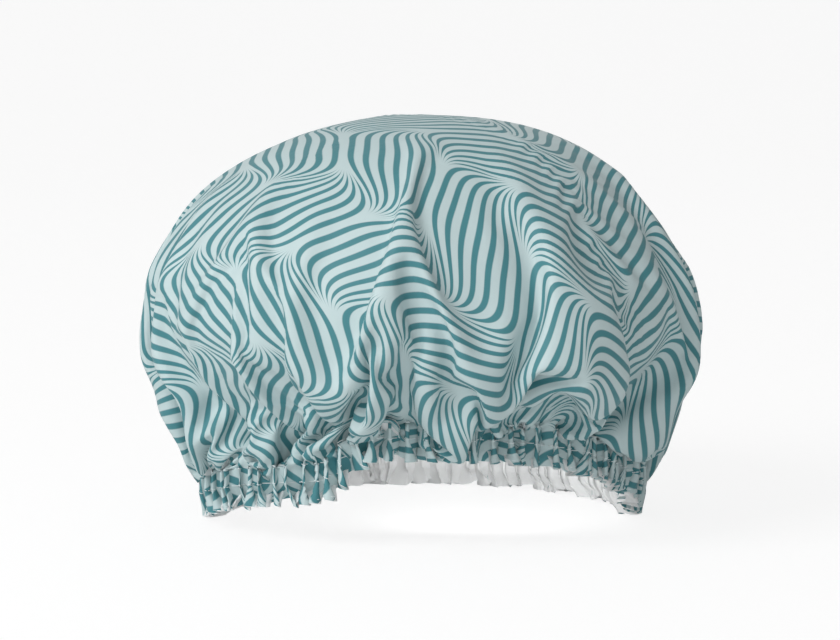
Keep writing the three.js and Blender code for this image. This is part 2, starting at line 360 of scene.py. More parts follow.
FOLDS = (
    Fold(-3.0, 0.0, 0.038, 0.168),
    Fold(-14.0, -30.0, 0.023, 0.155, 11.0),
    Fold(-33.0, -28.0, 0.023, 0.155, 11.0),
    Fold(-52.0, -16.0, 0.021, 0.145, 9.0),
    Fold(-78.0, -8.0, 0.017, 0.125),
    Fold(14.0, 12.0, 0.026, 0.190, -8.0),
    Fold(32.0, 0.0, 0.017, 0.205),
    Fold(54.0, -5.0, 0.028, 0.120, -8.0),
    Fold(82.0, 0.0, 0.017, 0.125),
    Fold(108.0, 4.0, 0.018, 0.135),
    Fold(138.0, 0.0, 0.019, 0.125),
    Fold(168.0, -4.0, 0.019, 0.145),
    Fold(-164.0, 0.0, 0.018, 0.125),
    Fold(-136.0, 3.0, 0.019, 0.135),
    Fold(-106.0, 0.0, 0.018, 0.125),
)


@dataclass(frozen=True)
class CrownShape:
    """The rounded crown that the folds are measured from.

    Above its widest girth it is half an ellipsoid, and below it a belly draws in to the hem.

    Attributes:
        hem: The hem that it draws in to.
        half_width: Half its widest girth across the cap.
        half_depth: Half its widest girth from front to back.
        top: Its height.
        widest: Height of the widest girth.
        widest_reach: How far the widest girth is from the crown, along the cloth.
        belly: How late the belly draws in.
    """

    hem: Hem
    half_width: float = 0.122
    half_depth: float = 0.118
    top: float = 0.177
    widest: float = 0.090
    widest_reach: float = 0.165
    belly: float = 1.3

    def at(self, angle: np.ndarray, reach: np.ndarray, sink: np.ndarray) -> np.ndarray:
        """Points of the crown.

        Args:
            angle: Angles about +Z in radians.
            reach: How far from the crown along the cloth, in metres.
            sink: How far inside the crown, in metres.

        Returns:
            Points, n by 3.
        """
        tilt = np.clip(reach / self.widest_reach, 0.0, 1.0) * 0.5 * math.pi
        drawn = np.clip((reach - self.widest_reach) / (self.hem.casing - self.widest_reach), 0.0, 1.0)
        tuck = drawn**self.belly
        wide = self.half_width * np.sin(tilt) - (self.half_width - self.hem.half_width) * tuck
        deep = self.half_depth * np.sin(tilt) - (self.half_depth - self.hem.half_depth) * tuck
        across = self.hem.centre[0] + wide * np.cos(angle)
        along = self.hem.centre[1] + deep * np.sin(angle)
        low = self.hem.top + self.hem.rise(angle)
        height = self.widest + (self.top - self.widest) * np.cos(tilt) + (low - self.widest) * drawn
        return np.stack([across, along, height], -1) - self.hem.outward(angle) * sink[..., None]


@dataclass(frozen=True)
class Gathering:
    """Draws the flat disc in to its hem by simulation, over a form that holds the crown up.

    The simulation runs at ten times the real size, where the solver's own distances suit the cloth.

    Attributes:
        disc: The cloth as cut.
        hem: The hem that it is drawn in to.
        crown: The shape that its folds are measured from.
        enlarged: How many times the real size it runs at.
        draw_frames: Frames that the drawing in takes.
        settle_frames: Frames that the cloth then settles for.
        form_half_width: Half the form across the cap.
        form_half_depth: Half the form from front to back.
        form_round: How boxy the form's shoulders are, from 0, square, to 1, round.
        form_tuck: How much of its girth the form loses at the hem.
        form_top: Height of the form.
        form_bottom: Height of its lowest point.
        form_rings: Rings of points on the form.
        form_sides: Points in each ring.
        start_gap: How far over the form the flat cloth starts.
        fold_hold: How firmly a fold is held.
        fold_hold_least: The share of that hold where the fold starts.
        fold_hold_run: How far along the cloth the hold takes to grow.
        fold_width: Half the width of the strip that is held, in cells.
        fold_slope: How far along the cloth a fold takes to reach its depth.
        fold_fade: The share of its depth that it loses on the way to the casing.
        fold_end: How far above the casing it is let go.
        sewn_above: How far above the upper stitch row the cloth is held to it.
    """

    disc: FlatDisc
    hem: Hem
    crown: CrownShape
    enlarged: float = 10.0
    draw_frames: int = 45
    settle_frames: int = 25
    form_half_width: float = 0.113
    form_half_depth: float = 0.108
    form_round: float = 0.84
    form_tuck: float = 0.50
    form_top: float = 0.175
    form_bottom: float = 0.012
    form_rings: int = 49
    form_sides: int = 96
    start_gap: float = 0.006
    fold_hold: float = 0.6
    fold_hold_least: float = 0.1
    fold_hold_run: float = 0.03
    fold_width: float = 0.55
    fold_slope: float = 0.04
    fold_fade: float = 0.6
    fold_end: float = 0.012
    sewn_above: float = 0.0005

    def form(self) -> bpy.types.Object:
        """The hidden form: an egg whose lower half draws in like the crown.

        Returns:
            The form, as a collider.
        """
        rings = np.linspace(0.0, math.pi, self.form_rings)
        sides = np.linspace(0.0, TURN, self.form_sides + 1)[:-1]
        tilt, turn = np.meshgrid(rings, sides, indexing="ij")
        widest = self.crown.widest
        upper = np.cos(tilt) > 0.0
        height = widest + np.where(upper, self.form_top - widest, widest - self.form_bottom) * np.cos(tilt)
        drawn = np.clip((widest - height) / (widest - self.hem.top), 0.0, 1.0)
        tucked = 1.0 - self.form_tuck * drawn**self.crown.belly
        girth = np.where(upper, np.sin(tilt) ** self.form_round, tucked)
        across = self.hem.centre[0] + self.form_half_width * girth * np.cos(turn)
        along = self.hem.centre[1] + self.form_half_depth * girth * np.sin(turn)
        points = np.stack([across, along, height], -1).reshape(-1, 3)
        number = np.arange(tilt.size).reshape(tilt.shape)
        beside = np.roll(number, -1, 1)
        faces = np.stack([number[:-1], number[1:], beside[1:], beside[:-1]], -1).reshape(-1, 4)
        form = link("form", points * self.enlarged, faces)
        form.modifiers.new("collision", "COLLISION")
        form.collision.thickness_outer = 0.01
        form.collision.cloth_friction = 5.0
        return form

    def targets(self, flat: np.ndarray) -> tuple[np.ndarray, np.ndarray, np.ndarray]:
        """Where the flat cloth starts, where its held points go, and how firmly each is held.

        Args:
            flat: Points of the flat disc, n by 2.

        Returns:
            The start, n by 3, the targets, n by 3, and the holds from 0 to 1.
        """
        reach = np.hypot(flat[:, 0], flat[:, 1])
        angle = np.arctan2(flat[:, 1], flat[:, 0])
        level = np.full(len(flat), self.form_top + self.start_gap)
        start = np.column_stack([flat + np.array(self.hem.centre), level])
        target = start.copy()
        hold = np.zeros(len(flat))
        cell = self.disc.radius / self.disc.rings
        belly = self.hem.casing - self.crown.widest_reach
        climb = (self.hem.casing - reach) / belly
        drawn = np.clip((reach - self.crown.widest_reach) / belly, 0.0, 1.0)
        for fold in FOLDS:
            line = FRONT + np.radians(fold.at + fold.lean * climb)
            aside = np.abs((angle - line + math.pi) % TURN - math.pi) * reach
            along = (reach > fold.start) & (reach < self.hem.casing - self.fold_end)
            held = (aside < self.fold_width * cell) & along
            past = reach - fold.start
            sink = fold.depth * np.clip(past / self.fold_slope, 0.0, 1.0) * (1.0 - self.fold_fade * drawn**3)
            moved = angle + math.radians(fold.tuck) * drawn
            target[held] = self.crown.at(moved, reach, sink)[held]
            hold[held] = self.fold_hold * np.clip(past[held] / self.fold_hold_run, self.fold_hold_least, 1.0)
        sewn = reach > self.hem.casing - self.sewn_above
        target[sewn] = self.hem.pleated(angle[sewn], reach[sewn] - self.hem.casing)
        hold[sewn] = 1.0
        return start, target, hold

    def run(self) -> np.ndarray:
        """Simulates the gathering, and clears away all that it used.

        Returns:
            The settled points on the disc's grid, side by side by 3, in metres.
        """
        grid = self.disc.grid()
        side = grid.shape[0]
        start, target, hold = self.targets(grid.reshape(-1, 2))
        cloth = link("gathering", start * self.enlarged, self.disc.quads(side))
        form = self.form()
        cloth.shape_key_add(name="flat")
        drawn = cloth.shape_key_add(name="drawn in")
        drawn.data.foreach_set("co", (target * self.enlarged).astype(np.float32).ravel())
        group = cloth.vertex_groups.new(name="held")
        levels = hold.round(2)
        for level in np.unique(levels[levels > 0.0]):
            group.add(np.nonzero(levels == level)[0].tolist(), float(level), "REPLACE")
        self.settings(cloth.modifiers.new("cloth", "CLOTH"), group.name)
        for value, when in ((0.0, 1), (1.0, 1 + self.draw_frames)):
            drawn.value = value
            drawn.keyframe_insert("value", frame=when)
        scene = bpy.context.scene
        for step in range(1, self.draw_frames + self.settle_frames + 2):
            scene.frame_set(step)
        settled = cloth.evaluated_get(bpy.context.evaluated_depsgraph_get()).data
        points = np.empty(3 * len(settled.vertices), np.float32)
        settled.vertices.foreach_get("co", points)
        action = cloth.data.shape_keys.animation_data.action
        for used in (cloth, form):
            mesh = used.data
            bpy.data.objects.remove(used)
            bpy.data.meshes.remove(mesh)
        bpy.data.actions.remove(action)
        scene.frame_set(1)
        return points.reshape(side, side, 3).astype(float) / self.enlarged

    def settings(self, modifier: bpy.types.Modifier, held: str) -> None:
        """Sets the cloth to a crisp, light weave backed with film.

        Args:
            modifier: The cloth modifier.
            held: The vertex group of the held points.
        """
        weave = modifier.settings
        weave.quality = 5
        weave.mass = 0.2
        weave.air_damping = 1.0
        weave.tension_stiffness = weave.compression_stiffness = 20.0
        weave.shear_stiffness = 6.0
        weave.bending_stiffness = 4.0
        weave.tension_damping = weave.compression_damping = weave.shear_damping = 2.0
        weave.bending_damping = 0.5
        weave.vertex_group_mass = held
        weave.pin_stiffness = 2.0
        weave.effector_weights.gravity = 0.12
        touch = modifier.collision_settings
        touch.collision_quality = 2
        touch.distance_min = 0.012
        touch.use_self_collision = True
        touch.self_distance_min = 0.012
        touch.self_friction = 3.0
        bpy.context.scene.gravity = (0.0, 0.0, -9.81)
        modifier.point_cache.frame_start = 1
        modifier.point_cache.frame_end = self.draw_frames + self.settle_frames + 1


def finer_along(rows: np.ndarray, finer: int) -> np.ndarray:
    """Threads a smooth curve through each column of points, and reads it at finer steps.

    Between two points the curve leaves each along the line that joins that point's two neighbours.

    Args:
        rows: Points, n by anything.
        finer: How many steps replace each step.

    Returns:
        The finer points, finer * (n - 1) + 1 of them along the first axis.
    """
    padded = np.concatenate([2.0 * rows[:1] - rows[1:2], rows, 2.0 * rows[-1:] - rows[-2:-1]])
    before, here, there, after = padded[:-3], padded[1:-2], padded[2:-1], padded[3:]
    parts = []
    for step in range(finer):
        u = step / finer
        parts.append(
            here
            + 0.5 * u * (there - before)
            + 0.5 * u**2 * (2.0 * before - 5.0 * here + 4.0 * there - after)
            + 0.5 * u**3 * (3.0 * (here - there) + after - before)
        )
    woven = np.stack(parts, 1).reshape(-1, *rows.shape[1:])
    return np.concatenate([woven, rows[-1:]])


def finer_grid(grid: np.ndarray, finer: int) -> np.ndarray:
    """A grid of points at finer steps both ways.

    Args:
        grid: Points, side by side by k.
        finer: How many cells replace each cell along each way.

    Returns:
        The finer grid.
    """
    once = finer_along(grid, finer)
    return finer_along(once.swapaxes(0, 1), finer).swapaxes(0, 1)


def grid_normals(grid: np.ndarray) -> np.ndarray:
    """Outward unit normals of a grid of points, from its slopes both ways.

    Args:
        grid: Points, side by side by 3.

    Returns:
        Unit vectors of the same shape.
    """
    normal = np.cross(np.gradient(grid, axis=1), np.gradient(grid, axis=0))
    return normal / np.maximum(np.linalg.norm(normal, axis=-1, keepdims=True), TINY)


class Shader:
    """A small helper that wires the nodes of a material."""

    # The colour sockets of a mix node, which share their names with its other sockets
    MIX_LOW = 6
    MIX_HIGH = 7
    MIX_RESULT = 2

    def __init__(self, name: str) -> None:
        """Starts a material with a principled shader.

        Args:
            name: The material's name.
        """
        self.material = bpy.data.materials.new(name)
        self.material.use_nodes = True
        self.tree = self.material.node_tree
        self.surface = self.tree.nodes["Principled BSDF"]

    def node(self, kind: str, **settings: object) -> bpy.types.Node:
        """Adds a node.

        Args:
            kind: The node's type.
            settings: Properties to set on it.

        Returns:
            The node.
        """
        made = self.tree.nodes.new(kind)
        for key, value in settings.items():
            setattr(made, key, value)
        return made

    def coat(self, **values: object) -> None:
        """Sets inputs of the surface, by their names with underscores for spaces.

        Args:
            values: Numbers, colours or sockets.
        """
        for key, value in values.items():
            socket = self.surface.inputs[key.replace("_", " ")]
            if isinstance(value, bpy.types.NodeSocket):
                self.tree.links.new(value, socket)
            else:
                socket.default_value = value

    def math(self, operation: str, *inputs: object) -> bpy.types.NodeSocket:
        """Adds a math node.

        Args:
            operation: What it works out.
            inputs: Numbers or sockets, in order.

        Returns:
            Its result.
        """
        made = self.node("ShaderNodeMath", operation=operation)
        for socket, value in zip(made.inputs, inputs):
            if isinstance(value, (int, float)):
                socket.default_value = value
            else:
                self.tree.links.new(value, socket)
        return made.outputs[0]

    def mix(self, share: bpy.types.NodeSocket, low: Triple, high: Triple) -> bpy.types.NodeSocket:
        """Mixes two colours.

        Args:
            share: From 0 to 1.
            low: The colour at 0.
            high: The colour at 1.

        Returns:
            The mixed colour.
        """
        made = self.node("ShaderNodeMix", data_type="RGBA")
        self.tree.links.new(share, made.inputs["Factor"])
        made.inputs[self.MIX_LOW].default_value = (*low, 1.0)
        made.inputs[self.MIX_HIGH].default_value = (*high, 1.0)
        return made.outputs[self.MIX_RESULT]

    def bump(self, height: bpy.types.NodeSocket, strength: float, distance: float) -> None:
        """Raises the surface by a height.

        Args:
            height: The height, from 0 to 1.
            strength: How much of it shows.
            distance: The height of 1, in metres.
        """
        made = self.node("ShaderNodeBump")
        made.inputs["Strength"].default_value = strength
        made.inputs["Distance"].default_value = distance
        self.tree.links.new(height, made.inputs["Height"])
        self.tree.links.new(made.outputs[0], self.surface.inputs["Normal"])


@dataclass(frozen=True)
class PrintedCloth:
    """Woven polyester with a print of wavy stripes.

    The stripes run up the cloth's diagonal in two kinds of stream. Each stream swells and narrows to a point
    in turn, and sways as it climbs, so that one kind stands upright where it is wide and the other lies
    level. The cloth is read in two slanted measures, along the diagonal and across it.

    Attributes:
        stripe: Colour of the stripes.
        ground: Colour between them.
        climb: How far a stream takes to swell or to narrow, in metres of the measure along the diagonal.
        spread: Half the distance between streams of one kind, in metres of the measure across it.
        sway: How far a stream sways, in spreads.
        stripes: Stripes across a stream.
        crisp: How sharp the edge of a stripe is.
        bias: How much the stripes are widened, or narrowed where it is below 0.
        taper: Half the width of a stream under which its stripes thin out, in spreads.
        thinning: How much they thin out.
        print_at: Where on the flat cloth the print starts, in metres.
        roughness: From 0, glossy, to 1, matt.
        gloss: Strength of the highlights.
        sheen: Strength of the soft sheen of the weave.
        crinkles: Crinkles a metre.
        crinkle_depth: Their height, in metres.
        crinkle_share: How much of that height shows.
    """

    stripe: Triple = (0.058, 0.226, 0.256)
    ground: Triple = (0.520, 0.640, 0.650)
    climb: float = 0.0630
    spread: float = 0.0435
    sway: float = 0.53
    stripes: int = 7
    crisp: float = 2.4
    bias: float = -0.10
    taper: float = 0.40
    thinning: float = 3.2
    print_at: tuple[float, float] = (0.0285, -0.1134)
    roughness: float = 0.58
    gloss: float = 0.35
    sheen: float = 0.12
    crinkles: float = 130.0
    crinkle_depth: float = 0.0010
    crinkle_share: float = 0.35

    def streams(
        self, shader: Shader, flat: bpy.types.NodeSocket
    ) -> tuple[bpy.types.NodeSocket, bpy.types.NodeSocket]:
        """Finds the stream that each point of the cloth lies in.

        The middle line of a stream sways as a sine with a tenth of a sine three times as quick taken off, and
        its width swells as the sine of a cosine. What one kind of stream leaves free is the other kind.

        Args:
            shader: The material.
            flat: The flat cloth, in metres.

        Returns:
            How far across its stream a point lies, from 0 at the middle to 1 at the edge, and half the width
            of the stream there, in spreads.
        """
        split = shader.node("ShaderNodeSeparateXYZ")
        shader.tree.links.new(flat, split.inputs[0])
        across = shader.math("SUBTRACT", split.outputs["X"], self.print_at[0])
        along = shader.math("SUBTRACT", split.outputs["Y"], self.print_at[1])
        up = shader.math("MULTIPLY", shader.math("ADD", across, along), math.pi / self.climb)
        aside = shader.math("DIVIDE", shader.math("SUBTRACT", across, along), self.spread)
        quick = shader.math("SINE", shader.math("MULTIPLY", up, 3.0))
        bend = shader.math("SUBTRACT", shader.math("SINE", up), shader.math("DIVIDE", quick, 10.0))
        swung = shader.math("MULTIPLY_ADD", bend, self.sway, aside)
        off = shader.math("ABSOLUTE", shader.math("WRAP", swung, 1.0, -1.0))
        swell = shader.math("SINE", shader.math("MULTIPLY", shader.math("COSINE", up), 0.5 * math.pi))
        wide = shader.math("MULTIPLY_ADD", swell, 0.5, 0.5)
        upright = shader.math("DIVIDE", off, shader.math("MAXIMUM", wide, 1e-4))
        rest = shader.math("MAXIMUM", shader.math("SUBTRACT", 1.0, wide), 1e-4)
        level = shader.math("DIVIDE", shader.math("SUBTRACT", 1.0, off), rest)
        inside = shader.math("LESS_THAN", off, wide)
        shift = shader.math("MULTIPLY", inside, shader.math("SUBTRACT", upright, level))
        turned = shader.math("MULTIPLY", inside, shader.math("SUBTRACT", wide, rest))
        return shader.math("ADD", shift, level), shader.math("ADD", turned, rest)

    def material(self) -> bpy.types.Material:
        """Makes the material, which reads the flat cloth from the piece's UV map.

        Returns:
            The material.
        """
        shader = Shader("printed cloth")
        flat = shader.node("ShaderNodeUVMap", uv_map="flat cloth").outputs[0]
        place, room = self.streams(shader, flat)
        taper = shader.math("MAXIMUM", 0.0, shader.math("MULTIPLY_ADD", room, -1.0 / self.taper, 1.0))
        ripple = shader.math("COSINE", shader.math("MULTIPLY", place, self.stripes * math.pi))
        full = shader.math("MULTIPLY_ADD", ripple, self.crisp, self.bias)
        thinned = shader.math("MULTIPLY_ADD", taper, -self.thinning, full)
        edge = shader.math("MINIMUM", 1.0, shader.math("MAXIMUM", 0.0, thinned))
        shader.coat(
            Base_Color=shader.mix(edge, self.ground, self.stripe),
            Roughness=self.roughness,
            Sheen_Weight=self.sheen,
            Specular_IOR_Level=self.gloss,
        )
        crinkle = shader.node("ShaderNodeTexNoise")
        crinkle.inputs["Scale"].default_value = self.crinkles
        crinkle.inputs["Detail"].default_value = 3.0
        shader.tree.links.new(flat, crinkle.inputs["Vector"])
        shader.bump(crinkle.outputs["Fac"], self.crinkle_share, self.crinkle_depth)
        return shader.material


@dataclass(frozen=True)
class PlainFinish:
    """A plain finish with a fine unevenness.

    Attributes:
        name: The material's name.
        colour: Its colour.
        roughness: From 0, glossy, to 1, matt.
        grain: Size of the unevenness, in marks a metre.
        depth: Height of the unevenness, in metres.
        share: How much of that height shows.
    """

    name: str
    colour: Triple
    roughness: float
    grain: float
    depth: float
    share: float = 0.4

    def material(self) -> bpy.types.Material:
        """Makes the material, which reads Object coordinates.

        Returns:
            The material.
        """
        shader = Shader(self.name)
        shader.coat(Base_Color=(*self.colour, 1.0), Roughness=self.roughness)
        where = shader.node("ShaderNodeTexCoord")
        grain = shader.node("ShaderNodeTexNoise")
        grain.inputs["Scale"].default_value = self.grain
        shader.tree.links.new(where.outputs["Object"], grain.inputs["Vector"])
        shader.bump(grain.outputs["Fac"], self.share, self.depth)
        return shader.material


WHITE_FILM = PlainFinish("white film", (0.84, 0.85, 0.85), 0.42, 160.0, 0.0010)
KNITTED_ELASTIC = PlainFinish("knitted elastic", (0.78, 0.77, 0.74), 0.85, 900.0, 0.0004)
SEWING_THREAD = PlainFinish("sewing thread", (0.74, 0.80, 0.81), 0.7, 2500.0, 0.0001)


@dataclass
class Crown:
    """The cloth and the film: two discs, gathered together.

    Attributes:
        disc: The cloth as cut.
        hem: The hem as it stands.
        finer: How many cells replace each cell of the settled cloth, along each way.
        parting: Gap between the cloth and the film.
        softening: How far each point is evened out, from 0 to 1.
        sewn_within: How far above the casing the cloth passes into the pleats of the hem.
        soft_above: How far above the casing the evening out is full.
        posed_above: How far above the casing the crown's own pose is full.
        parted_within: How far above the casing the film starts to leave the cloth.
        fuller: How much wider the widest girth is made, as a share.
        fuller_from: Heights over which that starts.
        fuller_to: Heights over which it ends.
        drawn_in: How much narrower the girth below it is made, as a share.
        drawn_from: Heights over which that starts.
        drawn_to: Heights over which it ends.
        shoulder_lean: How far the shoulders lie to the right.
        shoulder_from: Heights over which the shoulders start.
        top_lean: How far the top lies to the right.
        top_from: Heights over which the shoulders pass into the top.
        points: The settled cloth on the fine grid.
        flat: The flat cloth on the fine grid.
    """

    disc: FlatDisc
    hem: Hem
    finer: int = 2
    parting: float = 0.00015
    softening: float = 0.7
    sewn_within: float = 0.002
    soft_above: float = 0.012
    posed_above: float = 0.030
    parted_within: float = 0.010
    fuller: float = 0.017
    fuller_from: Span = (0.055, 0.075)
    fuller_to: Span = (0.105, 0.130)
    drawn_in: float = 0.024
    drawn_from: Span = (0.012, 0.030)
    drawn_to: Span = (0.050, 0.070)
    shoulder_lean: float = -0.0020
    shoulder_from: Span = (0.090, 0.125)
    top_lean: float = 0.0026
    top_from: Span = (0.140, 0.175)
    points: np.ndarray = field(init=False)
    flat: np.ndarray = field(init=False)

    def near_hem(self, reach: np.ndarray, within: float) -> np.ndarray:
        """A smooth step from 0 up on the crown to 1 at the casing.

        Args:
            reach: How far from the crown along the cloth, in metres.
            within: How far above the casing it starts, in metres.

        Returns:
            The step, of the same shape as reach.
        """
        return ease(reach, self.hem.casing - within, self.hem.casing)

    def settle(self, coarse: np.ndarray) -> None:
        """Takes the settled cloth, at finer steps, with the pleats of the hem drawn again at those steps.

        Args:
            coarse: The settled points on the disc's grid.
        """
        self.flat = finer_grid(self.disc.grid(), self.finer)
        reach = np.hypot(self.flat[..., 0], self.flat[..., 1])
        angle = np.arctan2(self.flat[..., 1], self.flat[..., 0])
        points = self.pose(finer_grid(self.soften(coarse), self.finer), reach)
        sewn = self.near_hem(reach, self.sewn_within)[..., None]
        self.points = (1.0 - sewn) * points + sewn * self.hem.pleated(angle, reach - self.hem.casing)

    def soften(self, coarse: np.ndarray) -> np.ndarray:
        """Evens out creases as short as a cell: each point above the casing moves towards the mean of its
        neighbours, which counts them one, two, one along each way of the grid.

        Args:
            coarse: The settled points on the disc's grid.

        Returns:
            The evened points.
        """
        padded = np.pad(coarse, ((1, 1), (1, 1), (0, 0)), mode="edge")
        rows = 0.25 * (padded[:-2] + padded[2:]) + 0.5 * padded[1:-1]
        mean = 0.25 * (rows[:, :-2] + rows[:, 2:]) + 0.5 * rows[:, 1:-1]
        grid = self.disc.grid()
        free = 1.0 - self.near_hem(np.hypot(grid[..., 0], grid[..., 1]), self.soft_above)
        return coarse + self.softening * free[..., None] * (mean - coarse)

    def pose(self, points: np.ndarray, reach: np.ndarray) -> np.ndarray:
        """Sets the crown as it sits: fuller at its widest girth, drawn in below it, with its shoulders to the
        left and its top to the right.

        Each is a smooth step up and down with height, and the change of girth fades out towards the casing.

        Args:
            points: The settled points.
            reach: How far each is from the crown along the cloth, in metres.

        Returns:
            The points as they sit.
        """
        height = points[..., 2]
        free = 1.0 - self.near_hem(reach, self.posed_above)
        girth = self.fuller * ease(height, *self.fuller_from) * (1.0 - ease(height, *self.fuller_to))
        girth -= self.drawn_in * ease(height, *self.drawn_from) * (1.0 - ease(height, *self.drawn_to))
        over = ease(height, *self.top_from)
        shoulder = self.shoulder_lean * ease(height, *self.shoulder_from) * (1.0 - over)
        posed = points.copy()
        posed[..., :2] += (free * girth)[..., None] * (points[..., :2] - np.array(self.hem.centre))
        posed[..., 0] += shoulder + self.top_lean * over
        return posed

    def inner(self) -> np.ndarray:
        """The film: just inside the cloth, parting from it at the casing to pass inside the elastic.

        Returns:
            Points on the fine grid.
        """
        reach = np.hypot(self.flat[..., 0], self.flat[..., 1])
        angle = np.arctan2(self.flat[..., 1], self.flat[..., 0])
        below = np.clip(reach - self.hem.casing, 0.0, None)
        across = self.hem.pleated(angle, below, Layer.FILM) - self.hem.pleated(angle, below, Layer.CLOTH)
        parted = self.near_hem(reach, self.parted_within)[..., None]
        return self.points + parted * across - self.parting * grid_normals(self.points)

    def sheet(self, name: str, points: np.ndarray, layer: Layer) -> bpy.types.Object:
        """Makes one layer, with its flat cut as the UV map.

        Args:
            name: The object's name.
            points: Points on the fine grid.
            layer: The cloth, which faces out, or the film, which faces in.

        Returns:
            The layer.
        """
        faces = self.disc.quads(points.shape[0])
        if layer is Layer.FILM:
            faces = faces[:, [0, 3, 2, 1]]
        made = link(name, points.reshape(-1, 3), faces)
        corners = np.empty(len(made.data.loops), np.int32)
        made.data.loops.foreach_get("vertex_index", corners)
        chart = made.data.uv_layers.new(name="flat cloth")
        chart.data.foreach_set("uv", self.flat.reshape(-1, 2)[corners].astype(np.float32).ravel())
        return made

    def build(self) -> dict[Node, bpy.types.Object]:
        """Makes both layers.

        Returns:
            The layers by the node that each stands for.
        """
        return {
            Node.CLOTH: self.sheet("printed_crown", self.points, Layer.CLOTH),
            Node.LINING: self.sheet("film_lining", self.inner(), Layer.FILM),
        }

    def dress(self, pieces: dict[Node, bpy.types.Object]) -> None:
        """Gives the layers their finishes.

        Args:
            pieces: The layers.
        """
        pieces[Node.CLOTH].data.materials.append(PrintedCloth().material())
        pieces[Node.LINING].data.materials.append(WHITE_FILM.material())


# A thread has six sides, and each of its ends is closed by two quads of these corners
THREAD_SIDES = 6
END_QUADS = ([0, 1, 2, 3], [0, 3, 4, 5])


def threads(
    name: str, lines: np.ndarray, outs: np.ndarray, radius: float, closed: bool = False
) -> bpy.types.Object:
    """Round threads along lines of points, as one object.

    Args:
        name: The object's name.
        lines: Points, threads by n by 3.
        outs: A direction roughly square to each line, of the same shape.
        radius: The thread's radius, in metres.
        closed: Whether each line meets itself.

    Returns:
        The threads.
    """
    many, count = lines.shape[:2]
    if closed:
        ahead = np.roll(lines, -1, 1) - np.roll(lines, 1, 1)
    else:
        ahead = np.gradient(lines, axis=1)
    ahead /= np.maximum(np.linalg.norm(ahead, axis=-1, keepdims=True), TINY)
    beside = np.cross(ahead, outs)
    beside /= np.maximum(np.linalg.norm(beside, axis=-1, keepdims=True), TINY)
    above = np.cross(beside, ahead)
    turn = TURN * np.arange(THREAD_SIDES) / THREAD_SIDES
    ring = above[:, :, None] * np.cos(turn)[:, None] + beside[:, :, None] * np.sin(turn)[:, None]
    points = (lines[:, :, None] + radius * ring).reshape(-1, 3)
    number = np.arange(many * count * THREAD_SIDES).reshape(many, count, THREAD_SIDES)
    here = number if closed else number[:, :-1]
    there = np.roll(number, -1, 1) if closed else number[:, 1:]
    quads = np.stack([here, np.roll(here, -1, 2), np.roll(there, -1, 2), there], -1).reshape(-1, 4)
    if not closed:
        ends = (number[:, 0, ::-1], number[:, -1])
        quads = np.concatenate([quads, *(end[:, corners] for end in ends for corners in END_QUADS)])
    return link(name, points, quads)


